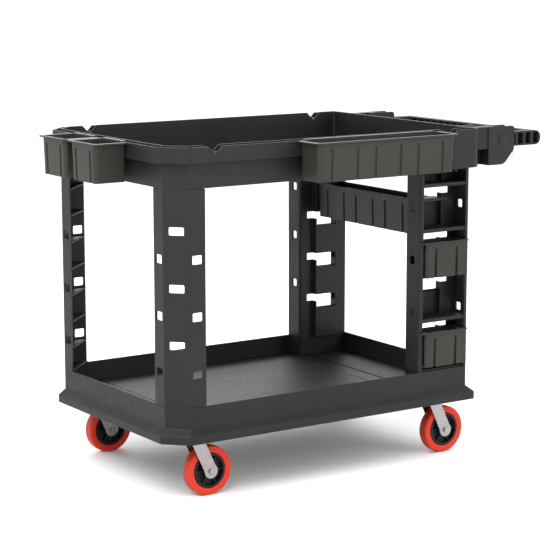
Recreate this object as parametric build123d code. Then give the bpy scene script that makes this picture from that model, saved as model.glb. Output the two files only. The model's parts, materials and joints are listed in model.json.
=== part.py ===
from build123d import *
import os
from math import cos, pi, radians, sin, tan

# Rolling utility cart, all sizes in millimetres.
# Working frame: x runs from the front lip towards the handle, y = 0 is the middle plane with the
# left side at -y, and z = 0 is the ground.  Every piece is moved once, as it is written, so that
# the origin ends up at the bottom centre of the whole cart's box.

# ---- deck -------------------------------------------------------------------------------------
deck_length = 950.0        # over the lip of the lower shelf
deck_width = 650.0
corner_cut = 56.0          # leg of the 45 degree cut on the two front corners
plan_round = 7.0           # rounding of the vertical outer edges
band_round = (20.0, 24.0)  # rail band's rounding at the front cuts and at the rear corners
wall = 5.0                 # moulded resin wall
rib = 4.0                  # stiffening rib
fit_gap = 0.4              # between mating moulded faces

# ---- lower shelf ------------------------------------------------------------------------------
lip_overhang = 17.0        # lip stands this far outside the tray wall
lip_bottom = 152.0
lip_band = 20.0            # height of the lip's upright band
lip_slope = 16.0           # height of the slope above the band
lower_wall_top = 242.0
lower_floor_top = 190.0
lower_rib_depth = 20.0
lower_rib_pitch = 118.0
caster_pad_margin = 6.0
floor_panel = (30.0, 0.6)  # grained panel on both tray floors: border round it, rise

# ---- upper shelf ------------------------------------------------------------------------------
leg_height = 538.0         # seen between the two shelves
apron_height = 63.0
band_height = 39.0
band_proud = 3.0           # rail band stands this far outside the lower lip
upper_floor_lift = 20.0    # tray floor above the apron's bottom edge
rim_bead = 2.5             # tray wall above the rail band
rail_slot_depth = 13.0     # groove between the rail band and the tray wall
upper_rib_depth = 6.0
upper_rib_pitch = 128.0
notch_depth = 19.0         # V-notches that hold pipe or board
notch_from_front = 127.0
notch_from_rear = 95.0
end_panel = 92.0           # plain side panel at the handle end
console_reach = 54.0       # tool console behind the tray's end wall
console_drop = 24.0        # its bottom below the rail band
console_wells = 4
console_dip = (12.0, 30.0) # its middle is this much lower, from this far inside each end
well_gap = 12.0
well_round = 5.0

# ---- legs -------------------------------------------------------------------------------------
leg_flat = 46.0            # width of each square face beside the cut
leg_ribs = 7
leg_rib_from_top = 49.0
leg_rib_from_bottom = 66.0
slot_above_rib = 17.0      # middle of a slot above the rib below it
cut_slot = (38.0, 20.5)
flat_slot = (28.0, 22.0)
slot_round = 3.5
leg_boss_place = (23.0, 56.0)  # screw bosses inside a leg, from its two outer faces
boss_radius = 8.0
boss_length = 24.0
boss_seat = 6.0            # boss under a tray floor

# ---- columns ----------------------------------------------------------------------------------
column_width = 164.0
column_depth = 62.0
column_wall = 6.0
strip_width = 74.0         # middle strip of the web, set towards the cart's inside
strip_depth = 16.0
edge_bead = (12.0, 8.0)    # thickened edge of a flange
tee_from_top = 53.0
tee_count = 4
tee_wide = (112.0, 19.5)
tee_narrow = (66.0, 20.0)
shelf_rib = 10.0
shelf_rib_above_tee = 6.0
shelf_rib_from_bottom = 21.0
edge_slot = (20.0, 21.0)
edge_slot_setback = 34.0
edge_slot_from_top = 100.0
edge_slot_from_bottom = 159.0
edge_slot_count = 3
column_boss_inset = 24.0

# ---- handle -----------------------------------------------------------------------------------
handle_inset = 45.0        # arms stand this far inside the deck's sides
handle_height = 39.0
handle_arm = 28.0          # thickness of an arm
handle_bar = 37.0          # depth of the cross bar
pivot_past_deck = 114.0    # pivot axis beyond the lip's rear end
handle_reach = 140.0       # pivot axis to the far face of the bar
pivot_above_apron = 62.0   # above the apron's bottom edge
handle_swing = 90.0
eye_radius = 24.0
arm_cell = 18.0
arm_cell_pitch = 27.0
arm_cells = 4
bar_cell = 22.0
bar_cell_pitch = 31.0
cell_depth = 17.0
cell_border = 5.0
pivot_radius = 6.0
pivot_head = (11.0, 5.0)
hub_cap = (15.0, 3.0)
washer = (16.0, 0.8)
ear_wall = 6.0
ear_gap = 1.0
ear_rear = 40.0            # ear stands this far past the pivot
ear_front = 50.0
ear_below_apron = 4.0
ear_below_band = 3.0
ear_step = 4.0             # ear's arm is set in from its hub
ear_round = 9.0
ear_window = (34.0, 44.0)
ear_chin = (11.0, 6.0, 33.0)
handle_ledge = (12.0, 7.0) # cross wall under each arm that the handle rests on

# ---- bins -------------------------------------------------------------------------------------
bin_wall = 3.0
bin_rim = (6.0, 4.0)       # rim's reach outside the bin and its height
rail_rim_end = 10.0        # reach of a rail bin's rim at its two ends
bin_round = 12.0
bin_back_round = 4.0
bin_taper = 3.0
rail_bin_height = 98.0
rail_bin_gap = 2.0         # from the rail band to the bin's back
rail_bin_travel = 120.0
twin_cup = 124.0
twin_gap = 31.0
twin_bin_depth = 85.0
twin_bin_aside = 18.0       # its middle, from the cart's middle plane
side_bin_length = 428.0
side_bin_depth = 75.0
side_bin_from_rear = 147.0
hook_wall = 2.5
hook_drop = 9.0
hook_gap = 0.4
hook_end_gap = 10.0
panel_drop = 17.0          # panel grooves stop this far below a bin's top
panel_groove = (8.0, 3.5)
panel_width = 86.0
panel_pitch = 134.0
twin_panel = 80.0
pocket_panel = 78.0
cross_bin_depth = 76.0
cross_bin_height = 96.0
cross_bin_below_tee = 34.0 # top of the cross bin below the top of its T-slots
cross_bin_gap = 2.0        # each end to the column's strip
key_height = 9.0
key_side_gap = 3.0
key_head = (100.0, 3.0)
key_gap = 0.5
key_lift = 20.0            # lift that frees the cross bin
pocket_width = 126.0
pocket_below_rib = 9.0     # bottom of a pocket bin's face below the top of the rib it rests on
pocket_face = (142.0, 5.0) # width of its face plate, and its middle's shift towards the rear
pocket_below_tee = 18.0    # top of a pocket bin below the top of the T-slot above it
pocket_proud = 8.0         # pocket bin's face stands this far outside the column
pocket_rim = (159.0, -4.5) # the same for its rim
pocket_back_gap = 3.0
pocket_travel = 60.0
pocket_bays = (1, 3)       # T-slots that the two pocket bins sit under

# ---- casters ----------------------------------------------------------------------------------
wheel_diameter = 127.0
wheel_width = 32.0
tread_thickness = 19.0
tread_round = 4.0
caster_height = 159.0
swivel_from_end = 101.0
swivel_from_side = 71.0
swivel_trail = 41.0
plate_size = (95.0, 67.0)
plate_thickness = 3.0
plate_holes = (76.0, 45.0)
plate_hole_radius = 4.2
race_radius = 27.0
race_depth = 5.0
ball_radius = 2.4
ball_count = 18
crown_radius = 31.0
fork_thickness = 3.0
fork_leg = 38.0
fork_side_gap = 0.8
kingpin_radius = 6.0
kingpin_head = (10.0, 3.0)
axle_radius = 4.0
axle_head = (7.5, 5.0)
sleeve_wall = 2.0
bearing_radius = 12.0
bearing_width = 9.0
hub_radius = 19.0
hub_width = 36.0
core_web = 6.0
core_rim = 6.0
core_spokes = 6
run_gap = 0.05             # radial running clearance
end_play = 0.3

# ---- screws -----------------------------------------------------------------------------------
frame_screw_radius = 2.5
frame_screw_head = (5.5, 3.0)
frame_screw_length = 22.0
caster_screw_radius = 4.0
caster_screw_head = (6.5, 5.0)
caster_screw_length = 20.0

# ---- worked out from the values above ---------------------------------------------------------
half_width = deck_width / 2
cut_run = tan(radians(22.5))            # how far a 45 degree corner moves along a face per inset
lip_top = lip_bottom + lip_band
slope_top = lip_top + lip_slope
apron_bottom = lower_wall_top + leg_height
band_bottom = apron_bottom + apron_height
band_top = band_bottom + band_height
tray_top = band_top + rim_bead
upper_floor_top = apron_bottom + upper_floor_lift
upper_floor_bottom = upper_floor_top - wall
lower_floor_bottom = lower_floor_top - wall
tray_inset = lip_overhang + wall        # inner face of both trays' walls
leg_corner = corner_cut + cut_run * lip_overhang
leg_end = leg_corner + leg_flat         # where a leg's flat faces end, from the lip
column_rear = deck_length - lip_overhang
column_front = column_rear - column_width
column_mid = column_rear - column_width / 2
column_face = half_width - lip_overhang # |y| of the column's open side
web_in = column_face - column_depth     # |y| of the web's face towards the cart's inside
strip_in = web_in - strip_depth         # the same for the middle strip
leg_rib_pitch = (leg_height - leg_rib_from_top - leg_rib_from_bottom) / (leg_ribs - 1)
edge_slot_pitch = (leg_height - edge_slot_from_top - edge_slot_from_bottom) / (edge_slot_count - 1)
tee_top = apron_bottom - tee_from_top
shelf_top = tee_top + shelf_rib_above_tee + shelf_rib
tee_pitch = (shelf_top - shelf_rib_from_bottom - lower_wall_top) / tee_count
band_face = half_width + band_proud
pivot_x = deck_length + pivot_past_deck
pivot_z = apron_bottom + pivot_above_apron
handle_end = pivot_x + handle_reach
arm_face = half_width - handle_inset
ear_out = arm_face + ear_gap + ear_wall
ear_in = arm_face - handle_arm - ear_gap - ear_wall
ear_bottom = apron_bottom - ear_below_apron
ear_top = band_top - ear_below_band
console_rear = deck_length + console_reach
rail_bin_back = band_face + rail_bin_gap
rail_bin_bottom = band_top - rail_bin_height
side_bin_mid = deck_length - side_bin_from_rear - side_bin_length / 2
wheel_radius = wheel_diameter / 2
core_radius = wheel_radius - tread_thickness
fork_inside = hub_width / 2 + fork_side_gap
fork_outside = fork_inside + fork_thickness
plate_bottom = caster_height - plate_thickness
crown_top = plate_bottom - race_depth
crown_bottom = crown_top - fork_thickness
sleeve_radius = axle_radius + sleeve_wall

x_min = half_width - rail_bin_back - twin_bin_depth - bin_rim[0]
x_max = handle_end
y_min = -(rail_bin_back + side_bin_depth + bin_rim[0])
y_max = band_face
origin = Pos(-(x_min + x_max) / 2, -(y_min + y_max) / 2, 0)


# ---- helpers ----------------------------------------------------------------------------------
def block(x0, x1, y0, y1, z0, z1):
    """A box between two corners."""
    middle = Pos((x0 + x1) / 2, (y0 + y1) / 2, (z0 + z1) / 2)
    return middle * Box(abs(x1 - x0), abs(y1 - y0), abs(z1 - z0))


def rod_z(x, y, z0, z1, radius):
    return Pos(x, y, (z0 + z1) / 2) * Cylinder(radius, abs(z1 - z0))


def rod_y(x, z, y0, y1, radius):
    return Pos(x, (y0 + y1) / 2, z) * Rot(90, 0, 0) * Cylinder(radius, abs(y1 - y0))


def upright_slab(points, y0, y1):
    """A plate between y0 and y1 whose outline is given by (x, z) points."""
    face = make_face(Polyline([(x, 0, z) for x, z in points], close=True))
    return Pos(0, y0, 0) * extrude(face, y1 - y0, dir=(0, 1, 0))


def mirrored(shape):
    """The same shape on the cart's other side."""
    return mirror(shape, about=Plane.XZ)


def plan(inset, cut_round=plan_round, rear_round=plan_round):
    """The deck's outline, cut at the two front corners, moved inwards by an inset."""
    x0 = inset
    x1 = deck_length - inset
    y1 = half_width - inset
    run = corner_cut + cut_run * inset
    points = [(x0, run - half_width), (run, -y1), (x1, -y1), (x1, y1), (run, y1), (x0, half_width - run)]
    face = make_face(Polyline(points, close=True))
    face = fillet(face.vertices().filter_by(lambda v: v.X < x1 - 1), cut_round)
    return fillet(face.vertices().filter_by(lambda v: v.X > x1 - 1 and abs(v.Y) > y1 - 1), rear_round)


def band_ring(z0, z1):
    """The rail band's wall, more softly rounded in plan than the trays."""
    cut_round, rear_round = band_round
    outer = extrude(plan(-band_proud, cut_round, rear_round), z1 - z0)
    inner = extrude(plan(wall - band_proud, cut_round - wall, rear_round - wall), z1 - z0)
    return Pos(0, 0, z0) * (outer - inner)


def layer(inset, z0, z1):
    return Pos(0, 0, z0) * extrude(plan(inset), z1 - z0)


def ring(outer_inset, inner_inset, z0, z1):
    return layer(outer_inset, z0, z1) - layer(inner_inset, z0, z1)


def slope(inset0, z0, inset1, z1):
    """A layer whose sides lean from one inset to another."""
    return loft([Pos(0, 0, z0) * plan(inset0), Pos(0, 0, z1) * plan(inset1)])


def rib_grid(inset, z0, z1, pitch):
    """Crossing ribs under a tray floor."""
    reach_x = deck_length - 2 * inset
    reach_y = deck_width - 2 * inset
    across = round(reach_x / pitch)
    along = round(reach_y / pitch)
    grid = Part()
    for i in range(1, across):
        x = inset + reach_x * i / across
        grid += block(x - rib / 2, x + rib / 2, inset - half_width, half_width - inset, z0, z1)
    for i in range(1, along):
        y = inset - half_width + reach_y * i / along
        grid += block(inset, deck_length - inset, y - rib / 2, y + rib / 2, z0, z1)
    return grid & layer(inset - wall / 2, z0, z1)


def screw(x, y, seat, up, radius, head, length):
    """A screw along z whose head seats at a height; up is 1 for a shank that points up, else -1."""
    return rod_z(x, y, seat, seat + up * length, radius) + rod_z(x, y, seat, seat - up * head[1], head[0])


def leg_boss_points():
    near, far = (lip_overhang + size for size in leg_boss_place)
    return [(near, far - half_width), (far, near - half_width)]


def column_boss_points():
    y = -(column_face - column_depth / 2)
    return [(column_front + column_boss_inset, y), (column_rear - column_boss_inset, y)]


def frame_boss_points():
    """Every place where a screw joins a leg or a column to a shelf."""
    left = leg_boss_points() + column_boss_points()
    return left + [(x, -y) for x, y in left]


def swivel_points():
    front = swivel_from_end
    rear = deck_length - swivel_from_end
    side = half_width - swivel_from_side
    return {
        "front_left": (front, -side),
        "front_right": (front, side),
        "rear_left": (rear, -side),
        "rear_right": (rear, side),
    }


def plate_hole_points(x, y):
    dx, dy = plate_holes[0] / 2, plate_holes[1] / 2
    return [(x + i * dx, y + j * dy) for i in (-1, 1) for j in (-1, 1)]


# ---- lower shelf ------------------------------------------------------------------------------
def load_panel(floor_top):
    """Grained panel a little proud of a tray floor, between the legs and the columns."""
    border, rise = floor_panel
    y = half_width - tray_inset - border
    return block(leg_end + border, column_front - border, -y, y, floor_top - rise, floor_top + rise)


def lower_shelf():
    knee = lip_top - wall
    body = layer(0, lip_bottom, lip_top)
    body += slope(0, lip_top, lip_overhang, slope_top)
    body += layer(lip_overhang, slope_top, lower_wall_top)
    body -= layer(tray_inset, lower_floor_top, lower_wall_top)
    body -= layer(wall, lip_bottom, knee)
    body += load_panel(lower_floor_top)
    body -= slope(wall, knee, tray_inset, lower_floor_bottom)
    body += rib_grid(tray_inset, lower_floor_bottom - lower_rib_depth, lower_floor_bottom, lower_rib_pitch)
    for x, y in swivel_points().values():
        dx = plate_size[0] / 2 + caster_pad_margin
        dy = plate_size[1] / 2 + caster_pad_margin
        body += block(x - dx, x + dx, y - dy, y + dy, caster_height, lower_floor_bottom)
        for hole_x, hole_y in plate_hole_points(x, y):
            body -= rod_z(hole_x, hole_y, caster_height, caster_height + caster_screw_length,
                          caster_screw_radius + run_gap)
    for x, y in frame_boss_points():
        body += rod_z(x, y, lower_floor_bottom - boss_seat, lower_floor_bottom, boss_radius)
        body -= rod_z(x, y, lower_floor_bottom - boss_seat, lower_floor_top, frame_screw_radius + run_gap)
        body -= rod_z(x, y, caster_height, lower_floor_bottom - boss_seat, frame_screw_head[0] + fit_gap)
    return body


# ---- upper shelf ------------------------------------------------------------------------------
def left_ear():
    """Clevis for the handle's pivot at the left rear corner, with its arm back to the shelf."""
    x0 = deck_length - lip_overhang
    x1 = pivot_x - ear_front
    x2 = pivot_x + ear_rear
    arm_out = ear_out - ear_step
    arm = block(x0, x1 + wall, -arm_out, -ear_in, ear_bottom, ear_top)
    arm -= block(x0 + wall, x1, wall - arm_out, -ear_in - wall, ear_bottom, ear_top - wall)
    arm -= block(x1 - ear_window[0], x1, -arm_out, wall - arm_out, ear_bottom, ear_bottom + ear_window[1])
    chin_x, chin_low, chin_high = ear_chin
    points = [(x1, ear_bottom), (pivot_x, ear_bottom), (pivot_x + chin_x, ear_bottom + chin_low),
              (x2, ear_bottom + chin_low + chin_high), (x2, ear_top), (x1, ear_top)]
    hub = upright_slab(points, -ear_out, -ear_in)
    hub = fillet(hub.edges().filter_by(Axis.Y).group_by(Axis.X)[-1], ear_round)
    slot_x = pivot_x - eye_radius - ear_gap
    hub -= block(slot_x, x2, ear_wall - ear_out, -ear_in - ear_wall, ear_bottom, ear_top)
    hub -= block(x1 + wall, slot_x - wall, ear_wall - ear_out, -ear_in - ear_wall, ear_bottom, ear_top - wall)
    ledge_top = pivot_z - handle_height / 2 - fit_gap
    hub += block(x2 - handle_ledge[0], x2, wall - ear_out, -ear_in - wall, ledge_top - handle_ledge[1], ledge_top)
    hub -= rod_y(pivot_x, pivot_z, -ear_out, -ear_in, pivot_radius + run_gap)
    return arm + hub


def console():
    """Tool console between the ears, with open wells."""
    x0 = deck_length + band_proud - wall
    bottom = band_bottom - console_drop
    body = block(x0, console_rear, -ear_in, ear_in, bottom, band_top)
    pitch = (2 * ear_in - well_gap) / console_wells
    for i in range(console_wells):
        y0 = well_gap - ear_in + i * pitch
        well = block(x0 + 2 * wall, console_rear - wall, y0, y0 + pitch - well_gap, bottom + wall, band_top)
        body -= fillet(well.edges().filter_by(Axis.Z), well_round)
    depth, end = console_dip
    return body - block(x0 + wall, console_rear, end - ear_in, ear_in - end, band_top - depth, band_top)


def notch_cut(x):
    """V across both long rims."""
    reach = tray_top - band_top + notch_depth
    points = [(x, band_top - notch_depth), (x + reach, tray_top), (x - reach, tray_top)]
    return upright_slab(points, -band_face, band_face)


def upper_shelf():
    skin = wall - band_proud
    groove = band_top - rail_slot_depth
    panel_x = deck_length - end_panel
    body = ring(lip_overhang, tray_inset, apron_bottom, tray_top)
    body += layer(lip_overhang + wall / 2, upper_floor_bottom, upper_floor_top)
    body += load_panel(upper_floor_top)
    body += band_ring(band_bottom, band_top)
    body += ring(skin, lip_overhang, groove - wall, groove)
    skirt = band_ring(apron_bottom, band_bottom)
    body += skirt & block(panel_x, deck_length + wall, -band_face, band_face, apron_bottom, band_bottom)
    for side in (-1, 1):
        body += block(panel_x, panel_x + wall, side * column_face, side * (band_face - wall), apron_bottom,
                      groove)
    body -= console_zone()
    ear_body = left_ear()
    body += ear_body
    body += mirrored(ear_body)
    body += console()
    body += rib_grid(tray_inset, upper_floor_bottom - upper_rib_depth, upper_floor_bottom, upper_rib_pitch)
    body -= notch_cut(notch_from_front)
    body -= notch_cut(deck_length - notch_from_rear)
    for x, y in frame_boss_points():
        body += rod_z(x, y, upper_floor_bottom - boss_seat, upper_floor_bottom, boss_radius)
        body -= rod_z(x, y, upper_floor_bottom - boss_seat, upper_floor_top, frame_screw_radius + run_gap)
    return body


def console_zone():
    """The stretch of the rail groove behind the console, left clear of the groove's web."""
    x0 = deck_length - lip_overhang
    return block(x0, deck_length + band_proud - wall, -ear_in, ear_in, apron_bottom, band_bottom)


# ---- legs -------------------------------------------------------------------------------------
def leg_plan(inset):
    """Plan of the left front leg, from its outer faces to the line between its two ends."""
    run = corner_cut + cut_run * inset
    points = [(inset, run), (run, inset), (leg_end, inset), (inset, leg_end)]
    face = make_face(Polyline([(x, y - half_width) for x, y in points], close=True))
    cut_corners = [v for v in face.vertices() if v.X < leg_end - 1 and v.Y < leg_end - half_width - 1]
    return fillet(cut_corners, plan_round)


def leg_layer(inset, z0, z1):
    return Pos(0, 0, z0) * extrude(leg_plan(inset), z1 - z0)


def leg_slots():
    """Slots on the two square faces and on the cut face, between the ribs."""
    cutters = Part()
    for i in range(1, leg_ribs):
        z = apron_bottom - leg_rib_from_top - i * leg_rib_pitch + slot_above_rib
        if i % 2:
            slot = Box(4 * wall, cut_slot[0], cut_slot[1])
            slot = fillet(slot.edges().filter_by(Axis.X), slot_round)
            middle = (lip_overhang + leg_corner) / 2
            cutters += Pos(middle, middle - half_width, z) * Rot(0, 0, 45) * slot
        else:
            slot = Box(4 * wall, flat_slot[0], flat_slot[1])
            slot = fillet(slot.edges().filter_by(Axis.X), slot_round)
            along = leg_corner + leg_flat / 2
            cutters += Pos(lip_overhang, along - half_width, z) * slot
            cutters += Pos(along, lip_overhang - half_width, z) * Rot(0, 0, 90) * slot
    return cutters


def leg_boss(x, y, z0, z1):
    """Screw boss with a rib back to the nearer outer face of the leg."""
    face = tray_inset + fit_gap
    if x < y + half_width:
        web = block(face, x, y - rib / 2, y + rib / 2, z0, z1)
    else:
        web = block(x - rib / 2, x + rib / 2, face - half_width, y, z0, z1)
    return rod_z(x, y, z0, z1, boss_radius) + web


def left_leg():
    spigot_inset = tray_inset + fit_gap
    body = leg_layer(lip_overhang, lower_wall_top, apron_bottom)
    body -= leg_layer(lip_overhang + wall, lower_wall_top, apron_bottom)
    body += leg_layer(spigot_inset - fit_gap, lower_wall_top, lower_wall_top + wall)
    body += leg_layer(spigot_inset - fit_gap, apron_bottom - wall, apron_bottom)
    for z0, z1 in ((lower_floor_top, lower_wall_top), (apron_bottom, upper_floor_bottom - boss_seat)):
        body += leg_layer(spigot_inset, z0, z1) - leg_layer(spigot_inset + wall, z0, z1)
    for i in range(leg_ribs):
        z = apron_bottom - leg_rib_from_top - i * leg_rib_pitch
        body += leg_layer(lip_overhang + wall / 2, z - rib, z)
    body -= leg_slots()
    for x, y in leg_boss_points():
        low = (lower_floor_top, lower_floor_top + boss_length)
        high = (upper_floor_bottom - boss_seat - boss_length, upper_floor_bottom - boss_seat)
        for z0, z1 in (low, high):
            body += leg_boss(x, y, z0, z1)
            body -= rod_z(x, y, z0, z1, frame_screw_radius + run_gap)
    return body


# ---- columns ----------------------------------------------------------------------------------
def tee_tops():
    return [tee_top - i * tee_pitch for i in range(tee_count)]


def shelf_tops():
    """Top faces of the shelf ribs inside a column, highest first."""
    return [shelf_top - i * tee_pitch for i in range(tee_count + 1)]


def tee_cut(top):
    """T-slot through the web, wide part above the narrow part."""
    wide = block(column_mid - tee_wide[0] / 2, column_mid + tee_wide[0] / 2, -web_in - 2 * column_wall,
                 -strip_in + 1, top - tee_wide[1], top)
    narrow = block(column_mid - tee_narrow[0] / 2, column_mid + tee_narrow[0] / 2, -web_in - column_wall,
                   -strip_in + 1, top - tee_wide[1] - tee_narrow[1], top)
    return wide + narrow


def column_channel(z0, z1):
    """The left column's open channel: two flanges and a web whose middle strip is set inwards."""
    strip_x = strip_width / 2
    body = block(column_front, column_rear, -column_face, -web_in, z0, z1)
    body = fillet(body.edges().filter_by(Axis.Z), plan_round)
    body += block(column_mid - strip_x, column_mid + strip_x, -web_in - column_wall, -strip_in, z0, z1)
    bead_x, bead_y = edge_bead
    body -= block(column_front + bead_x, column_rear - bead_x, -column_face, bead_y - column_face, z0, z1)
    body -= block(column_front + column_wall, column_rear - column_wall, bead_y - column_face,
                  -web_in - column_wall, z0, z1)
    inside_x = strip_x - column_wall
    body -= block(column_mid - inside_x, column_mid + inside_x, -web_in - column_wall,
                  -strip_in - column_wall, z0, z1)
    return body


def left_column():
    body = column_channel(lower_wall_top, apron_bottom)
    inner_x0 = column_front + column_wall / 2
    inner_x1 = column_rear - column_wall / 2
    for top in shelf_tops():
        shelf = block(inner_x0, inner_x1, wall / 2 - column_face, -web_in - column_wall / 2, top - shelf_rib, top)
        body += shelf - block(inner_x0, inner_x1, 2 * wall - column_face, -web_in - column_wall, top - shelf_rib,
                              top - wall)
    for top in tee_tops():
        body -= tee_cut(top)
    for i in range(edge_slot_count):
        z = apron_bottom - edge_slot_from_top - i * edge_slot_pitch
        y = edge_slot_setback - column_face
        dy, dz = edge_slot[0] / 2, edge_slot[1] / 2
        slot = block(column_front - 1, column_rear + 1, y - dy, y + dy, z - dz, z + dz)
        body -= fillet(slot.edges().filter_by(Axis.X), slot_round)
    body += column_foot(lower_floor_top, lower_wall_top + wall)
    body += column_foot(upper_floor_bottom - boss_seat, apron_bottom - wall)
    for x, y in column_boss_points():
        low = (lower_floor_top, lower_floor_top + boss_length)
        high = (upper_floor_bottom - boss_seat - boss_length, upper_floor_bottom - boss_seat)
        for z0, z1 in (low, high):
            body += rod_z(x, y, z0, z1, boss_radius)
            body -= rod_z(x, y, z0, z1, frame_screw_radius + run_gap)
    return body


def column_foot(end, inside):
    """Hollow end of a column that stands inside a tray's wall, closed at its outer end."""
    side = wall + fit_gap
    x0 = column_front + column_wall / 2
    cap = wall if inside > end else -wall
    outer = block(x0, column_rear - side, side - column_face, -web_in, end, inside)
    outer = fillet(outer.edges().filter_by(Axis.Z).group_by(Axis.X)[-1], plan_round)
    return outer - block(x0 + wall, column_rear - side - wall, side + wall - column_face, -web_in - wall,
                         end + cap, inside)


# ---- handle -----------------------------------------------------------------------------------
def handle():
    """Bail handle: two ribbed arms and a ribbed cross bar, moulded in one."""
    low = pivot_z - handle_height / 2
    high = pivot_z + handle_height / 2
    body = block(pivot_x, handle_end, -arm_face, arm_face, low, high)
    body = fillet(body.edges().filter_by(Axis.Y).group_by(Axis.X)[-1], handle_height / 2 - 1)
    inner = arm_face - handle_arm
    gap = block(pivot_x, handle_end - handle_bar, -inner, inner, low, high)
    body -= fillet(gap.edges().filter_by(Axis.Z).group_by(Axis.X)[-1], well_round)
    for side in (-1, 1):
        face = side * arm_face
        for i in range(arm_cells):
            x1 = handle_end - cell_border - 4 - i * arm_cell_pitch
            body -= block(x1 - arm_cell, x1, face - side * cell_depth, face, low + cell_border,
                          high - cell_border)
        body += rod_y(pivot_x, pivot_z, face - side * handle_arm, face, eye_radius)
        body -= rod_y(pivot_x, pivot_z, face - side * handle_arm, face, pivot_radius + run_gap)
    cells = int((2 * inner - well_round) // bar_cell_pitch)
    bar_face = handle_end - handle_bar
    for i in range(cells):
        y = (i - (cells - 1) / 2) * bar_cell_pitch
        body -= block(bar_face, bar_face + cell_depth, y - bar_cell / 2, y + bar_cell / 2, low + cell_border,
                      high - cell_border)
    return body


def pivot_bolts():
    bolts = Part()
    for side in (-1, 1):
        head_face = side * ear_in
        bolts += rod_y(pivot_x, pivot_z, head_face, side * (ear_out - end_play), pivot_radius)
        bolts += rod_y(pivot_x, pivot_z, head_face - side * pivot_head[1], head_face, pivot_head[0])
    return bolts


def friction_washers():
    play = (ear_gap - washer[1]) / 2
    washers = Part()
    for side in (-1, 1):
        for face in (arm_face + play, arm_face - handle_arm - play - washer[1]):
            disc = rod_y(pivot_x, pivot_z, side * face, side * (face + washer[1]), washer[0])
            washers += disc - rod_y(pivot_x, pivot_z, side * face, side * (face + washer[1]),
                                    pivot_radius + run_gap)
    return washers


def left_hub_cap():
    cap = rod_y(pivot_x, pivot_z, -ear_out - hub_cap[1], -ear_out, hub_cap[0])
    return fillet(cap.edges().group_by(Axis.Y)[0], hub_cap[1] / 2)


# ---- bins -------------------------------------------------------------------------------------
def bin_plan(width, depth, grow, back):
    """Plan of a bin whose back is on y = 0 and whose front is at -depth."""
    face = Pos(0, -(depth + grow + back) / 2) * Rectangle(width + 2 * grow, depth + grow - back)
    front = face.vertices().group_by(Axis.Y)[0]
    rear = face.vertices().group_by(Axis.Y)[-1]
    face = fillet(front, bin_round + min(grow, 0))
    return fillet(face.vertices().group_by(Axis.Y)[-1], bin_back_round)


def cup(width, depth, height, panels, rim_end):
    """Open bin with a rim, leaning walls and rounded front corners, standing on z = 0."""
    outer = loft([bin_plan(width, depth, -bin_taper, 0), Pos(0, 0, height) * bin_plan(width, depth, 0, 0)])
    inner = loft([Pos(0, 0, bin_wall) * bin_plan(width, depth, -bin_taper - bin_wall, bin_wall),
                  Pos(0, 0, height) * bin_plan(width, depth, -bin_wall, bin_wall)])
    rim_width = width + 2 * (rim_end - bin_rim[0])
    rim = Pos(0, 0, height - bin_rim[1]) * extrude(bin_plan(rim_width, depth, bin_rim[0], 0), bin_rim[1])
    body = outer + rim - inner
    body += outer & panel_strips(depth, height, panels, bin_wall)
    return body - panel_strips(depth, height, panels, 0)


def panel_strips(depth, height, panels, grow):
    """Upright grooves beside each panel of a bin's face, or with grow the wall that backs them.
    panels holds (middle, size) pairs."""
    groove, deep = panel_groove
    half = groove / 2 + grow
    inside = deep + grow - depth
    top = height - panel_drop + grow
    strips = Part()
    for middle, size in panels:
        for side in (-1, 1):
            x = middle + side * (size - groove) / 2
            points = [(-depth - 1, -1), (bin_taper + inside, -1), (inside, top), (-depth - 1, top)]
            face = make_face(Polyline([(0, y, z) for y, z in points], close=True))
            strips += Pos(x - half, 0, 0) * extrude(face, 2 * half, dir=(1, 0, 0))
    return strips


def rail_hook(width):
    """Strip that hangs a bin over the rail band, at the top of its back wall."""
    x = width / 2 - hook_end_gap
    low = rail_bin_height + hook_gap
    high = low + hook_wall
    over = rail_bin_gap + wall + hook_gap
    hook = block(-x, x, -bin_wall, over + hook_wall, low, high)
    hook += block(-x, x, -bin_wall, 0, rail_bin_height - bin_rim[1], high)
    return hook + block(-x, x, over, over + hook_wall, high - hook_drop, high)


def side_bin():
    panels = [(i * panel_pitch, panel_width) for i in (-1, 0, 1)]
    body = cup(side_bin_length, side_bin_depth, rail_bin_height, panels, rail_rim_end)
    body += rail_hook(side_bin_length)
    return Pos(side_bin_mid, -rail_bin_back, rail_bin_bottom) * body


def twin_bin():
    one = cup(twin_cup, twin_bin_depth, rail_bin_height, [(0, twin_panel)], rail_rim_end) + rail_hook(twin_cup)
    shift = (twin_cup + twin_gap) / 2
    bridge = shift - twin_cup / 2 + bin_wall
    body = Pos(-shift, 0, 0) * one + Pos(shift, 0, 0) * one
    body += block(-bridge, bridge, -twin_bin_depth, 0, rail_bin_height - bin_rim[1], rail_bin_height)
    return Pos(half_width - rail_bin_back, twin_bin_aside, rail_bin_bottom) * Rot(0, 0, -90) * body


def cross_bin():
    """Bin across the two columns, keyed into the upper T-slots at both ends."""
    length = 2 * (strip_in - cross_bin_gap - bin_rim[0])
    top = tee_top - cross_bin_below_tee
    bottom = top - cross_bin_height
    panels = [(i * panel_pitch, panel_width) for i in (-1, 0, 1)]
    body = cup(length, cross_bin_depth, cross_bin_height, panels, bin_rim[0])
    key_low = tee_top - tee_wide[1] - tee_narrow[1] + key_gap - bottom
    key_x = web_in + column_wall + key_gap
    key_y = tee_narrow[0] / 2 - key_side_gap
    middle = -cross_bin_depth / 2
    for side in (-1, 1):
        body += block(side * length / 2, side * (key_x + key_head[1]), middle - key_y, middle + key_y, key_low,
                      key_low + key_height)
        body += block(side * key_x, side * (key_x + key_head[1]), middle - key_head[0] / 2,
                      middle + key_head[0] / 2, key_low, key_low + key_height)
    return Pos(column_mid + cross_bin_depth / 2, 0, bottom) * Rot(0, 0, -90) * body


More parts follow.
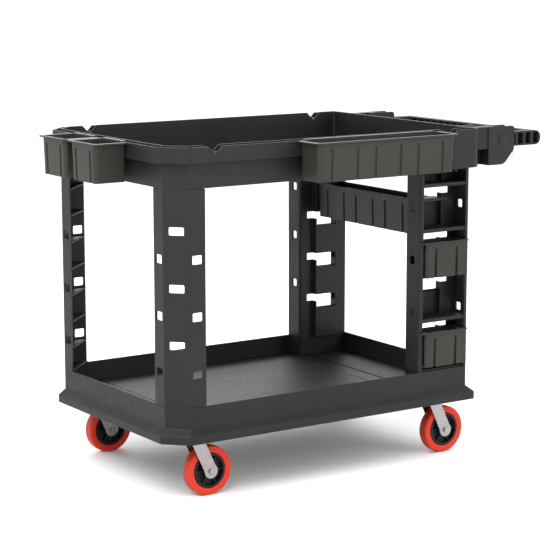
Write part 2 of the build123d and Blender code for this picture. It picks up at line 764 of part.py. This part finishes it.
def pocket_bin(bay):
    """Bin that slides into a column's bay and rests on the shelf rib below it."""
    depth = column_face + pocket_proud - web_in - column_wall - pocket_back_gap
    rib_top = shelf_tops()[bay + 1]
    bottom = rib_top - pocket_below_rib
    height = tee_tops()[bay] - pocket_below_tee - bottom
    floor = rib_top + fit_gap - bottom
    outer = loft([bin_plan(pocket_width, depth, -bin_taper, 0),
                  Pos(0, 0, height) * bin_plan(pocket_width, depth, 0, 0)])
    inner = loft([Pos(0, 0, floor + bin_wall) * bin_plan(pocket_width, depth, -bin_taper - bin_wall, bin_wall),
                  Pos(0, 0, height) * bin_plan(pocket_width, depth, -bin_wall, bin_wall)])
    plate_back = pocket_proud - fit_gap - depth
    body = outer
    for (width, shift), front, low in ((pocket_face, -depth, 0), (pocket_rim, -depth - wall, height - bin_rim[1])):
        plate = block(shift - width / 2, shift + width / 2, front, plate_back, low, height)
        body += fillet(plate.edges().filter_by(Axis.Z).group_by(Axis.Y)[0], pocket_proud - 1)
    body -= inner
    body += (outer & panel_strips(depth, height, [(0, pocket_panel)], bin_wall))
    body -= block(-pocket_width, pocket_width, plate_back, 0, -1, floor)
    body -= panel_strips(depth, height, [(0, pocket_panel)], 0)
    return Pos(column_mid, depth - column_face - pocket_proud, bottom) * body


# ---- casters ----------------------------------------------------------------------------------
def hexagon(x, z, y0, y1, radius):
    """Hexagonal head or nut on an axis along y."""
    return Pos(x, min(y0, y1), z) * Rot(-90, 0, 0) * extrude(RegularPolygon(radius, 6), abs(y1 - y0))


def caster_plate(x, y):
    plate = block(x - plate_size[0] / 2, x + plate_size[0] / 2, y - plate_size[1] / 2, y + plate_size[1] / 2,
                  plate_bottom, caster_height)
    plate = fillet(plate.edges().filter_by(Axis.Z), plan_round)
    cover = crown_radius + 2 * end_play
    plate += rod_z(x, y, crown_top - end_play, plate_bottom, cover + plate_thickness)
    plate -= rod_z(x, y, crown_top - end_play, plate_bottom, cover)
    plate -= rod_z(x, y, plate_bottom, caster_height, kingpin_radius)
    for hole_x, hole_y in plate_hole_points(x, y):
        plate -= rod_z(hole_x, hole_y, plate_bottom, caster_height, plate_hole_radius)
    return plate


def caster_kingpin(x, y):
    head_top = crown_bottom - end_play
    return rod_z(x, y, head_top, caster_height, kingpin_radius) + rod_z(
        x, y, head_top - kingpin_head[1], head_top, kingpin_head[0])


def caster_balls(x, y):
    middle = (crown_top + plate_bottom) / 2
    balls = Part()
    for i in range(ball_count):
        turn = 2 * pi * i / ball_count
        balls += Pos(x + race_radius * cos(turn), y + race_radius * sin(turn), middle) * Sphere(ball_radius)
    return balls


def caster_fork(x, y):
    axle_x = x + swivel_trail
    half_leg = fork_leg / 2
    body = rod_z(x, y, crown_bottom, crown_top, crown_radius)
    points = [(x - half_leg, crown_top), (x + half_leg, crown_top), (axle_x + half_leg, wheel_radius),
              (axle_x - half_leg, wheel_radius)]
    for side in (-1, 1):
        inner = y + side * fork_inside
        outer = y + side * fork_outside
        body += upright_slab(points, min(inner, outer), max(inner, outer))
        body += rod_y(axle_x, wheel_radius, inner, outer, half_leg)
    body -= rod_z(x, y, crown_bottom, crown_top, kingpin_radius + run_gap)
    return body - rod_y(axle_x, wheel_radius, y - fork_outside, y + fork_outside, axle_radius + run_gap)


def caster_axle(x, y):
    axle_x = x + swivel_trail
    radius, height = axle_head
    body = rod_y(axle_x, wheel_radius, y - fork_outside, y + fork_outside + height + 1, axle_radius)
    body += hexagon(axle_x, wheel_radius, y - fork_outside - height, y - fork_outside, radius)
    return body + hexagon(axle_x, wheel_radius, y + fork_outside, y + fork_outside + height, radius)


def tube_y(x, z, y0, y1, inner, outer):
    return rod_y(x, z, y0, y1, outer) - rod_y(x, z, y0, y1, inner)


def caster_sleeve(x, y):
    half = fork_inside - run_gap
    return tube_y(x + swivel_trail, wheel_radius, y - half, y + half, axle_radius + run_gap, sleeve_radius)


def wheel_bearings(x, y):
    rings = Part()
    for side in (-1, 1):
        outer = y + side * hub_width / 2
        rings += tube_y(x + swivel_trail, wheel_radius, outer - side * bearing_width, outer,
                        sleeve_radius + run_gap, bearing_radius)
    return rings


def wheel_core(x, y):
    axle_x = x + swivel_trail
    half_rim = wheel_width / 2 - 1
    body = tube_y(axle_x, wheel_radius, y - half_rim, y + half_rim, core_radius - core_rim, core_radius)
    body += rod_y(axle_x, wheel_radius, y - core_web / 2, y + core_web / 2, core_radius - core_rim / 2)
    for i in range(core_spokes):
        spoke = block(0, core_radius - core_rim / 2, -half_rim + rib, half_rim - rib, -rib / 2, rib / 2)
        body += Pos(axle_x, y, wheel_radius) * Rot(0, 360 * i / core_spokes, 0) * spoke
    body += rod_y(axle_x, wheel_radius, y - hub_width / 2, y + hub_width / 2, hub_radius)
    body -= rod_y(axle_x, wheel_radius, y - hub_width / 2, y + hub_width / 2, sleeve_radius + rib / 2)
    for side in (-1, 1):
        outer = y + side * hub_width / 2
        body -= rod_y(axle_x, wheel_radius, outer - side * bearing_width, outer, bearing_radius)
    return body


def wheel_tread(x, y):
    axle_x = x + swivel_trail
    half = wheel_width / 2
    body = rod_y(axle_x, wheel_radius, y - half, y + half, wheel_radius)
    body = fillet(body.edges().filter_by(GeomType.CIRCLE), tread_round)
    return body - rod_y(axle_x, wheel_radius, y - half, y + half, core_radius)


# ---- screws -----------------------------------------------------------------------------------
def frame_screws():
    """Screws up through the lower shelf and down through the upper tray's floor."""
    screws = Part()
    for x, y in frame_boss_points():
        screws += screw(x, y, lower_floor_bottom - boss_seat, 1, frame_screw_radius, frame_screw_head,
                        frame_screw_length)
        screws += screw(x, y, upper_floor_top, -1, frame_screw_radius, frame_screw_head, frame_screw_length)
    return screws


def caster_screws():
    screws = Part()
    for x, y in swivel_points().values():
        for hole_x, hole_y in plate_hole_points(x, y):
            screws += screw(hole_x, hole_y, plate_bottom, 1, caster_screw_radius, caster_screw_head,
                            caster_screw_length)
    return screws


# ---- every piece ------------------------------------------------------------------------------
def pieces():
    found = {
        "lower_shelf": lower_shelf(),
        "upper_shelf": upper_shelf(),
        "front_left_leg": left_leg(),
        "rear_left_column": left_column(),
        "left_hub_cap": left_hub_cap(),
        "handle": handle(),
        "handle_pivot_bolts": pivot_bolts(),
        "handle_friction_washers": friction_washers(),
        "side_bin": side_bin(),
        "twin_bin": twin_bin(),
        "cross_bin": cross_bin(),
        "upper_pocket_bin": pocket_bin(pocket_bays[0]),
        "lower_pocket_bin": pocket_bin(pocket_bays[1]),
        "frame_screws": frame_screws(),
        "caster_screws": caster_screws(),
    }
    for left, right in (("front_left_leg", "front_right_leg"), ("rear_left_column", "rear_right_column"),
                        ("left_hub_cap", "right_hub_cap")):
        found[right] = mirrored(found[left])
    makers = {
        "plate": caster_plate,
        "kingpin": caster_kingpin,
        "swivel_balls": caster_balls,
        "fork": caster_fork,
        "axle_bolt": caster_axle,
        "axle_sleeve": caster_sleeve,
        "bearings": wheel_bearings,
        "wheel_core": wheel_core,
        "wheel_tread": wheel_tread,
    }
    for corner, (x, y) in swivel_points().items():
        for piece, maker in makers.items():
            found[f"{corner}_{piece}"] = maker(x, y)
    return found


def print_motions():
    """Joint places and ranges in the written frame."""
    shift = origin.position
    print("handle turns about y at", pivot_x + shift.X, pivot_z, "from level to", handle_swing, "degrees up")
    for corner, (x, y) in swivel_points().items():
        print(corner, "swivel axis", x + shift.X, y + shift.Y, "wheel axis", x + swivel_trail + shift.X,
              wheel_radius)
    print("lifts:", "rail bins", rail_bin_travel, "cross bin", key_lift)
    print("pocket bins pull out", pocket_travel)


def main():
    os.makedirs("parts", exist_ok=True)
    for name, piece in pieces().items():
        export_step(origin * piece, f"parts/{name}.step")
    print("overall", x_max - x_min, y_max - y_min, tray_top)
    print_motions()


main()
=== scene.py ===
import json
from math import pi, radians

import bmesh
import bpy
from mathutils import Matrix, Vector

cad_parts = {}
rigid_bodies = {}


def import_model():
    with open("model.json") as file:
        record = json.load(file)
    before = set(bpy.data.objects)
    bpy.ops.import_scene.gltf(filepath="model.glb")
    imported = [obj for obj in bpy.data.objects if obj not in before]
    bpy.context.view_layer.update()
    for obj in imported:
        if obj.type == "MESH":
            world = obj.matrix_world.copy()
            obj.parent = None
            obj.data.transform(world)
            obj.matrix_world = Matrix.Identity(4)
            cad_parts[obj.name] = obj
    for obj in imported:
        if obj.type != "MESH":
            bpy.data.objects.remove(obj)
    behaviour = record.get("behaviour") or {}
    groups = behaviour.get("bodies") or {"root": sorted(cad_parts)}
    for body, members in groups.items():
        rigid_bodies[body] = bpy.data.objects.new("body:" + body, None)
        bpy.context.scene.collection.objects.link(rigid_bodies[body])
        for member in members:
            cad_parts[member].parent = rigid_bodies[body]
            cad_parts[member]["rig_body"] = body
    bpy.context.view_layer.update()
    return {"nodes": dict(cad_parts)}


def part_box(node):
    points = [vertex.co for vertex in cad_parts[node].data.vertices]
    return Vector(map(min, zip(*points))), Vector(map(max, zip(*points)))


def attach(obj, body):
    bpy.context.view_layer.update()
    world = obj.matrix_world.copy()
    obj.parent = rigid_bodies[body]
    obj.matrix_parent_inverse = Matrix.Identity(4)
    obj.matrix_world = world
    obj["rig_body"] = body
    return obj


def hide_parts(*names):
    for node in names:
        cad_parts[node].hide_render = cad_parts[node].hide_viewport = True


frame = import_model()
nodes = frame["nodes"]
CORNERS = ("front_left", "front_right", "rear_left", "rear_right")

# Radii of the rounded edges, in metres.
SHELF_EDGE = 0.0012
POST_EDGE = 0.0013
HANDLE_EDGE = 0.0012
BIN_EDGE = 0.0009
CORE_EDGE = 0.0008
FORK_EDGE = 0.0009
EDGE_SEGMENTS = 2
SHARP_ANGLE = radians(32)    # edges sharper than this are rounded
FLAT_ANGLE = radians(0.5)    # triangles flatter than this are one face
CREASE_ANGLE = radians(50)   # grown pieces stay sharp beyond this
WELD_GAP = 1e-5
FACE_WEIGHT = 90             # how far the large faces decide the shading beside them

TREAD_BEAD = 0.0009          # radius of the moulding bead on a tread's sides
PLATE_SHEET = 0.003          # thickness of a caster's top plate


# ---- small tools ----------------------------------------------------------------------------------
def linear(hex_text):
    """sRGB hex text to linear RGBA."""
    channels = [int(hex_text[i:i + 2], 16) / 255 for i in (1, 3, 5)]
    return [c / 12.92 if c <= 0.04045 else ((c + 0.055) / 1.055) ** 2.4 for c in channels] + [1.0]


def put(tree, kind, inputs=(), **settings):
    """Adds a node, sets its properties, then fills or links its inputs."""
    node = tree.nodes.new(kind)
    for key, value in settings.items():
        setattr(node, key, value)
    for key, value in dict(inputs).items():
        if isinstance(value, bpy.types.NodeSocket):
            tree.links.new(value, node.inputs[key])
        else:
            node.inputs[key].default_value = value
    return node


def new_material(name):
    material = bpy.data.materials.new(name)
    material.use_nodes = True
    material.node_tree.nodes.clear()
    return material, material.node_tree


def close_material(tree, shader):
    put(tree, "ShaderNodeOutputMaterial", {"Surface": shader.outputs[0]})


# ---- finishes -------------------------------------------------------------------------------------
def moulded_resin(name, base, pale, grain_mm, roughness, grain_depth, streak):
    """Injection moulded resin.  A leather grain breaks up its sheen, faint flow streaks and cooling
    patches vary its grey, and convex edges carry a painted highlight: they are painted paler in patches
    than the faces."""
    material, tree = new_material(name)
    place = put(tree, "ShaderNodeTexCoord").outputs["Object"]
    patches = put(tree, "ShaderNodeTexNoise", {"Vector": place, "Scale": 5.0, "Detail": 3.0,
                  "Distortion": streak})
    grain = put(tree, "ShaderNodeTexVoronoi", {"Vector": place, "Scale": 1000 / grain_mm,
                "Randomness": 0.9}, feature="SMOOTH_F1")
    edge_and_roughness_noise = put(tree, "ShaderNodeTexNoise", {"Vector": place, "Scale": 60.0, "Detail": 4.0,
                "Roughness": 0.7})
    # painted highlight: convex edges, found by pointiness, are painted paler in patches set by the noise
    edge = put(tree, "ShaderNodeMapRange",
               {"Value": put(tree, "ShaderNodeNewGeometry").outputs["Pointiness"],
                "From Min": 0.51, "From Max": 0.58, "To Min": 0.0, "To Max": 0.45})
    painted_edge_highlight = put(tree, "ShaderNodeMath", {0: edge.outputs[0], 1: edge_and_roughness_noise.outputs["Fac"]},
                 operation="MULTIPLY")
    spread = put(tree, "ShaderNodeMapRange", {"Value": patches.outputs["Fac"], "From Min": 0.3,
                 "From Max": 0.7, "To Min": 0.0, "To Max": 0.35})
    share = put(tree, "ShaderNodeMath", {0: spread.outputs[0], 1: painted_edge_highlight.outputs[0]}, operation="ADD",
                use_clamp=True)
    tone = put(tree, "ShaderNodeMix", {"Factor": share.outputs[0], "A": linear(base), "B": linear(pale)},
               data_type="RGBA")
    sheen = put(tree, "ShaderNodeMapRange", {"Value": edge_and_roughness_noise.outputs["Fac"], "From Min": 0.3,
                "From Max": 0.7, "To Min": roughness - 0.06, "To Max": roughness + 0.06})
    relief = put(tree, "ShaderNodeBump", {"Height": grain.outputs["Distance"], "Strength": 0.35,
                 "Distance": grain_depth / 1000})
    shader = put(tree, "ShaderNodeBsdfPrincipled", {"Base Color": tone.outputs["Result"],
                 "Roughness": sheen.outputs[0], "Normal": relief.outputs[0], "IOR": 1.49,
                 "Specular IOR Level": 0.25})
    close_material(tree, shader)
    return material


def zinc_plate(name, base, roughness):
    """Bright zinc plate on pressed or turned steel: a cool metal with faint cloudy passivation and
    short rolling marks."""
    material, tree = new_material(name)
    place = put(tree, "ShaderNodeTexCoord").outputs["Object"]
    cloud = put(tree, "ShaderNodeTexNoise", {"Vector": place, "Scale": 90.0, "Detail": 3.0})
    stretched = put(tree, "ShaderNodeMapping", {"Vector": place, "Scale": (900.0, 900.0, 60.0)})
    marks = put(tree, "ShaderNodeTexNoise", {"Vector": stretched.outputs[0], "Scale": 1.0, "Detail": 2.0})
    tone = put(tree, "ShaderNodeMix", {"Factor": cloud.outputs["Fac"], "A": linear(base),
               "B": linear("#A9A6A2")}, data_type="RGBA")
    rough = put(tree, "ShaderNodeMapRange", {"Value": cloud.outputs["Fac"], "From Min": 0.3,
                "From Max": 0.7, "To Min": roughness - 0.07, "To Max": roughness + 0.1})
    relief = put(tree, "ShaderNodeBump", {"Height": marks.outputs["Fac"], "Strength": 0.12,
                 "Distance": 0.0002})
    shader = put(tree, "ShaderNodeBsdfPrincipled", {"Base Color": tone.outputs["Result"], "Metallic": 1.0,
                 "Roughness": rough.outputs[0], "Normal": relief.outputs[0]})
    close_material(tree, shader)
    return material


def tread_rubber(name):
    """Thermoplastic rubber moulded on the wheel: dull and saturated, a little darker and dusty on the
    rolling face, which the piece's own "rolled" attribute marks."""
    material, tree = new_material(name)
    place = put(tree, "ShaderNodeTexCoord").outputs["Object"]
    mottle = put(tree, "ShaderNodeTexNoise", {"Vector": place, "Scale": 120.0, "Detail": 4.0,
                 "Roughness": 0.65})
    rolled = put(tree, "ShaderNodeAttribute", attribute_name="rolled")
    clean = put(tree, "ShaderNodeMix", {"Factor": mottle.outputs["Fac"], "A": linear("#B5230D"),
                "B": linear("#CB361A")}, data_type="RGBA")
    dust = put(tree, "ShaderNodeMath", {0: rolled.outputs["Fac"], 1: mottle.outputs["Fac"]},
               operation="MULTIPLY")
    tone = put(tree, "ShaderNodeMix", {"Factor": dust.outputs[0], "A": clean.outputs["Result"],
               "B": linear("#8A2C1C")}, data_type="RGBA")
    relief = put(tree, "ShaderNodeBump", {"Height": mottle.outputs["Fac"], "Strength": 0.2,
                 "Distance": 0.0003})
    shader = put(tree, "ShaderNodeBsdfPrincipled", {"Base Color": tone.outputs["Result"], "Roughness": 0.5,
                 "Normal": relief.outputs[0], "IOR": 1.5, "Specular IOR Level": 0.3})
    close_material(tree, shader)
    return material


STRUCTURAL = moulded_resin("structural_foam_resin", "#161617", "#232324", 4.0, 0.5, 0.25, 1.2)
BIN_RESIN = moulded_resin("bin_polypropylene", "#252522", "#33332E", 3.0, 0.45, 0.15, 0.5)
CORE_RESIN = moulded_resin("wheel_core_polypropylene", "#0D0C10", "#19181C", 3.0, 0.42, 0.15, 0.4)
CAP_RESIN = moulded_resin("hub_cap_abs", "#1A1A1C", "#28282A", 3.0, 0.3, 0.06, 0.3)
NYLON = moulded_resin("washer_nylon", "#19191A", "#262627", 2.0, 0.5, 0.05, 0.3)
PRESSING = zinc_plate("zinc_plated_pressing", "#8A8988", 0.3)
BOLT_ZINC = zinc_plate("zinc_plated_bolt", "#8C8B8A", 0.2)
BEARING = zinc_plate("ground_bearing_steel", "#8A8A8C", 0.2)
BLACK_SCREW = zinc_plate("black_oxide_steel", "#242424", 0.4)
TREAD = tread_rubber("tread_thermoplastic_rubber")


def dress(piece, material):
    piece.data.materials.clear()
    piece.data.materials.append(material)


# ---- moulded edges --------------------------------------------------------------------------------
def softened(name, width, material, whole_faces=False):
    """A copy of a CAD piece whose sharp edges are rounded as a mould's are.  With whole_faces its flat
    faces are first joined up from their triangles."""
    body = nodes[name]["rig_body"]
    mesh = nodes[name].data.copy()
    shape = bmesh.new()
    shape.from_mesh(mesh)
    bmesh.ops.remove_doubles(shape, verts=shape.verts, dist=WELD_GAP)
    if whole_faces:
        bmesh.ops.dissolve_limit(shape, angle_limit=FLAT_ANGLE, verts=shape.verts, edges=shape.edges)
    shape.to_mesh(mesh)
    shape.free()
    for face in mesh.polygons:
        face.use_smooth = True
    rough = bpy.data.objects.new(name + "_rough", mesh)
    bpy.context.scene.collection.objects.link(rough)
    bevel = rough.modifiers.new("edges", "BEVEL")
    bevel.width = width
    bevel.segments = EDGE_SEGMENTS
    bevel.limit_method = "ANGLE"
    bevel.angle_limit = SHARP_ANGLE
    bevel.use_clamp_overlap = False
    bevel.miter_outer = "MITER_ARC"
    flat = rough.modifiers.new("flat", "WEIGHTED_NORMAL")
    flat.mode = "FACE_AREA"
    flat.weight = FACE_WEIGHT
    return finished(rough, name + "_moulded", body, material, [name])


def finished(source, name, body, material, replaced=(), crease=None):
    """Turns an object with live modifiers into a plain mesh piece that rides on a body.  A crease
    angle smooths its faces up to that angle."""
    bpy.context.view_layer.update()
    graph = bpy.context.evaluated_depsgraph_get()
    mesh = bpy.data.meshes.new_from_object(source.evaluated_get(graph), depsgraph=graph)
    piece = bpy.data.objects.new(name, mesh)
    bpy.context.scene.collection.objects.link(piece)
    bpy.data.objects.remove(source)
    if crease is not None:
        for face in mesh.polygons:
            face.use_smooth = True
        mesh.set_sharp_from_angle(angle=crease)
    dress(piece, material)
    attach(piece, body)
    if replaced:
        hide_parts(*replaced)
    return piece


for name in ("lower_shelf", "upper_shelf"):
    softened(name, SHELF_EDGE, STRUCTURAL)
for name in ("front_left_leg", "front_right_leg", "rear_left_column", "rear_right_column"):
    softened(name, POST_EDGE, STRUCTURAL, whole_faces=True)
softened("handle", HANDLE_EDGE, STRUCTURAL)
for name in ("side_bin", "twin_bin", "cross_bin", "upper_pocket_bin", "lower_pocket_bin"):
    softened(name, BIN_EDGE, BIN_RESIN)


# ---- grown pieces: treads and bolts ---------------------------------------------------------------
def open_tree(name, sizes):
    """A Geometry Nodes tree with named inputs; sizes holds (name, kind, start value)."""
    tree = bpy.data.node_groups.new(name, "GeometryNodeTree")
    tree.interface.new_socket("Geometry", in_out="OUTPUT", socket_type="NodeSocketGeometry")
    tree.interface.new_socket("Geometry", in_out="INPUT", socket_type="NodeSocketGeometry")
    for size, kind, start in sizes:
        socket = tree.interface.new_socket(size, in_out="INPUT", socket_type=kind)
        socket.default_value = start
    return tree, put(tree, "NodeGroupInput").outputs


def close_tree(tree, geometry, material):
    """Ends a tree in plain mesh with its finish."""
    real = put(tree, "GeometryNodeRealizeInstances", {"Geometry": geometry})
    painted = put(tree, "GeometryNodeSetMaterial", {"Geometry": real.outputs[0], "Material": material})
    put(tree, "NodeGroupOutput", {"Geometry": painted.outputs[0]})


def grown(tree, name, values, body, material, replaced=()):
    """Runs a tree on an empty mesh and keeps the plain result."""
    seed = bpy.data.objects.new(name + "_seed", bpy.data.meshes.new(name + "_seed"))
    bpy.context.scene.collection.objects.link(seed)
    modifier = seed.modifiers.new("grow", "NODES")
    modifier.node_group = tree
    sockets = {item.name: item.identifier for item in tree.interface.items_tree if item.in_out == "INPUT"}
    for size, value in values.items():
        modifier[sockets[size]] = value
    return finished(seed, name, body, material, replaced, CREASE_ANGLE)


def tread_tree():
    """A ring with a rounded section round an axle along y, with a moulding bead on each side face."""
    tree, size = open_tree("wheel_tread_ring", [
        ("Centre", "NodeSocketVector", (0, 0, 0)), ("Outer radius", "NodeSocketFloat", 0.0635),
        ("Inner radius", "NodeSocketFloat", 0.0445), ("Width", "NodeSocketFloat", 0.032),
        ("Shoulder", "NodeSocketFloat", 0.005), ("Bead", "NodeSocketFloat", TREAD_BEAD)])
    thick = put(tree, "ShaderNodeMath", {0: size["Outer radius"], 1: size["Inner radius"]},
                operation="SUBTRACT")
    total = put(tree, "ShaderNodeMath", {0: size["Outer radius"], 1: size["Inner radius"]},
                operation="ADD")
    middle = put(tree, "ShaderNodeMath", {0: total.outputs[0], 1: 0.5}, operation="MULTIPLY")
    path = put(tree, "GeometryNodeCurvePrimitiveCircle", {"Resolution": 128, "Radius": middle.outputs[0]})
    section = put(tree, "GeometryNodeCurvePrimitiveQuadrilateral", {"Width": thick.outputs[0],
                  "Height": size["Width"]})
    rounded = put(tree, "GeometryNodeFilletCurve", {"Curve": section.outputs[0], "Radius": size["Shoulder"],
                  "Count": 5, "Limit Radius": True}, mode="POLY")
    ring = put(tree, "GeometryNodeCurveToMesh", {"Curve": path.outputs[0],
               "Profile Curve": rounded.outputs[0]})
    bead = put(tree, "GeometryNodeCurvePrimitiveCircle", {"Resolution": 8, "Radius": size["Bead"]})
    half = put(tree, "ShaderNodeMath", {0: size["Width"], 1: 0.5}, operation="MULTIPLY")
    both = [ring.outputs[0]]
    for side in (1.0, -1.0):
        offset = put(tree, "ShaderNodeMath", {0: half.outputs[0], 1: side}, operation="MULTIPLY")
        place = put(tree, "ShaderNodeCombineXYZ", {"Z": offset.outputs[0]})
        line = put(tree, "GeometryNodeCurveToMesh", {"Curve": path.outputs[0],
                   "Profile Curve": bead.outputs[0]})
        both.append(put(tree, "GeometryNodeTransform", {"Geometry": line.outputs[0],
                        "Translation": place.outputs[0]}).outputs[0])
    joined = put(tree, "GeometryNodeJoinGeometry")
    for part in both:
        tree.links.new(part, joined.inputs[0])
    spot = put(tree, "ShaderNodeSeparateXYZ", {"Vector": put(tree, "GeometryNodeInputPosition").outputs[0]})
    flat = put(tree, "ShaderNodeCombineXYZ", {"X": spot.outputs["X"], "Y": spot.outputs["Y"]})
    reach = put(tree, "ShaderNodeVectorMath", {0: flat.outputs[0]}, operation="LENGTH")
    rolled = put(tree, "ShaderNodeMapRange", {"Value": reach.outputs["Value"],
                 "From Min": middle.outputs[0], "From Max": size["Outer radius"]})
    sharp = put(tree, "ShaderNodeMath", {0: rolled.outputs[0], 1: 8.0}, operation="POWER")
    marked = put(tree, "GeometryNodeStoreNamedAttribute", {"Geometry": joined.outputs[0], "Name": "rolled",
                 "Value": sharp.outputs[0]}, data_type="FLOAT", domain="POINT")
    upright = put(tree, "GeometryNodeTransform", {"Geometry": marked.outputs[0], "Rotation": (pi / 2, 0, 0),
                  "Translation": size["Centre"]})
    close_tree(tree, upright.outputs[0], TREAD)
    return tree


def hex_bolt_tree():
    """Hexagon heads with washers, one at each corner of a rectangle, hanging under a plate."""
    tree, size = open_tree("hexagon_bolt_set", [
        ("Centre", "NodeSocketVector", (0, 0, 0)), ("Pitch x", "NodeSocketFloat", 0.076),
        ("Pitch y", "NodeSocketFloat", 0.045), ("Head radius", "NodeSocketFloat", 0.0062),
        ("Head height", "NodeSocketFloat", 0.0045), ("Washer radius", "NodeSocketFloat", 0.0064),
        ("Washer height", "NodeSocketFloat", 0.0008)])
    points = put(tree, "GeometryNodeMeshGrid", {"Size X": size["Pitch x"], "Size Y": size["Pitch y"],
                 "Vertices X": 2, "Vertices Y": 2})
    head = put(tree, "GeometryNodeMeshCylinder", {"Vertices": 6, "Radius": size["Head radius"],
               "Depth": size["Head height"]})
    washer = put(tree, "GeometryNodeMeshCylinder", {"Vertices": 32, "Radius": size["Washer radius"],
                 "Depth": size["Washer height"]})
    drop = put(tree, "ShaderNodeMath", {0: size["Head height"], 1: -0.5}, operation="MULTIPLY")
    low = put(tree, "ShaderNodeMath", {0: drop.outputs[0], 1: size["Washer height"]}, operation="SUBTRACT")
    head_place = put(tree, "ShaderNodeCombineXYZ", {"Z": low.outputs[0]})
    seat = put(tree, "ShaderNodeMath", {0: size["Washer height"], 1: -0.5}, operation="MULTIPLY")
    washer_place = put(tree, "ShaderNodeCombineXYZ", {"Z": seat.outputs[0]})
    joined = put(tree, "GeometryNodeJoinGeometry")
    for shape, place in ((head, head_place), (washer, washer_place)):
        moved = put(tree, "GeometryNodeTransform", {"Geometry": shape.outputs[0],
                    "Translation": place.outputs[0]})
        tree.links.new(moved.outputs[0], joined.inputs[0])
    turns = put(tree, "FunctionNodeRandomValue", {"Min": 0.0, "Max": 1.0, "Seed": 4}, data_type="FLOAT")
    spin = put(tree, "ShaderNodeCombineXYZ", {"Z": turns.outputs["Value"]})
    bolts = put(tree, "GeometryNodeInstanceOnPoints", {"Points": points.outputs[0],
                "Instance": joined.outputs[0], "Rotation": spin.outputs[0]})
    placed = put(tree, "GeometryNodeTransform", {"Geometry": bolts.outputs[0],
                 "Translation": size["Centre"]})
    close_tree(tree, placed.outputs[0], BOLT_ZINC)
    return tree


treads = tread_tree()
bolts = hex_bolt_tree()
for corner in CORNERS:
    tread = f"{corner}_wheel_tread"
    low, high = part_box(tread)
    core_low, core_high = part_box(f"{corner}_wheel_core")
    ring = {"Centre": (low + high) / 2, "Outer radius": (high.z - low.z) / 2,
            "Inner radius": (core_high.z - core_low.z) / 2, "Width": high.y - low.y - 2 * TREAD_BEAD}
    grown(treads, f"{corner}_moulded_tread", ring, f"{corner}_wheel", TREAD, [tread])
    softened(f"{corner}_wheel_core", CORE_EDGE, CORE_RESIN)
    softened(f"{corner}_fork", FORK_EDGE, PRESSING)
    plate_low, plate_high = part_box(f"{corner}_plate")
    under = (plate_low + plate_high) / 2
    under.z = plate_high.z - PLATE_SHEET
    grown(bolts, f"{corner}_plate_bolts", {"Centre": under}, "cart_frame", BOLT_ZINC,
          ["caster_screws"] if corner == CORNERS[0] else [])

for name, material in (("left_hub_cap", CAP_RESIN), ("right_hub_cap", CAP_RESIN),
                       ("handle_pivot_bolts", BOLT_ZINC), ("handle_friction_washers", NYLON),
                       ("frame_screws", BLACK_SCREW)):
    dress(nodes[name], material)
for corner in CORNERS:
    for piece, material in (("plate", PRESSING), ("kingpin", BOLT_ZINC), ("swivel_balls", BEARING),
                            ("axle_bolt", BOLT_ZINC), ("axle_sleeve", BOLT_ZINC), ("bearings", BEARING)):
        dress(nodes[f"{corner}_{piece}"], material)


# ---- floor, light and camera ----------------------------------------------------------------------
def studio_floor():
    mesh = bpy.data.meshes.new("studio_floor")
    reach = 90.0
    mesh.from_pydata([(-reach, -reach, 0), (reach, -reach, 0), (reach, reach, 0), (-reach, reach, 0)], [],
                     [(0, 1, 2, 3)])
    floor = bpy.data.objects.new("studio_floor", mesh)
    bpy.context.scene.collection.objects.link(floor)
    material, tree = new_material("white_floor")
    shader = put(tree, "ShaderNodeBsdfPrincipled", {"Base Color": (0.93, 0.93, 0.93, 1), "Roughness": 0.75,
                 "Specular IOR Level": 0.1})
    close_material(tree, shader)
    dress(floor, material)


def area_light(name, place, target, size, power):
    light = bpy.data.lights.new(name, "AREA")
    light.shape = "RECTANGLE"
    light.size, light.size_y = size
    light.energy = power
    lamp = bpy.data.objects.new(name, light)
    lamp.location = place
    lamp.rotation_euler = (Vector(target) - Vector(place)).to_track_quat("-Z", "Y").to_euler()
    bpy.context.scene.collection.objects.link(lamp)


def studio_light():
    world = bpy.data.worlds.new("studio")
    world.use_nodes = True
    world.node_tree.nodes["Background"].inputs["Color"].default_value = (1, 1, 1, 1)
    world.node_tree.nodes["Background"].inputs["Strength"].default_value = 1.35
    bpy.context.scene.world = world
    middle = (0.0, 0.0, 0.5)
    area_light("key", (-2.6, -1.6, 3.2), middle, (2.2, 2.2), 120)
    area_light("fill", (2.2, -3.4, 1.8), middle, (2.5, 2.0), 32)
    area_light("back", (1.5, 3.0, 2.6), middle, (2.5, 1.5), 50)


def studio_camera():
    data = bpy.data.cameras.new("camera")
    data.lens = 122.76
    data.sensor_width = 36.0
    data.clip_end = 400.0
    camera = bpy.data.objects.new("camera", data)
    camera.location = (-2.8522, -4.1534, 1.35175)
    camera.rotation_euler = (radians(90 - 9.88), 0.0, radians(-34.03))
    bpy.context.scene.collection.objects.link(camera)
    bpy.context.scene.camera = camera


studio_floor()
studio_light()
studio_camera()
bpy.context.scene.view_settings.view_transform = "Standard"
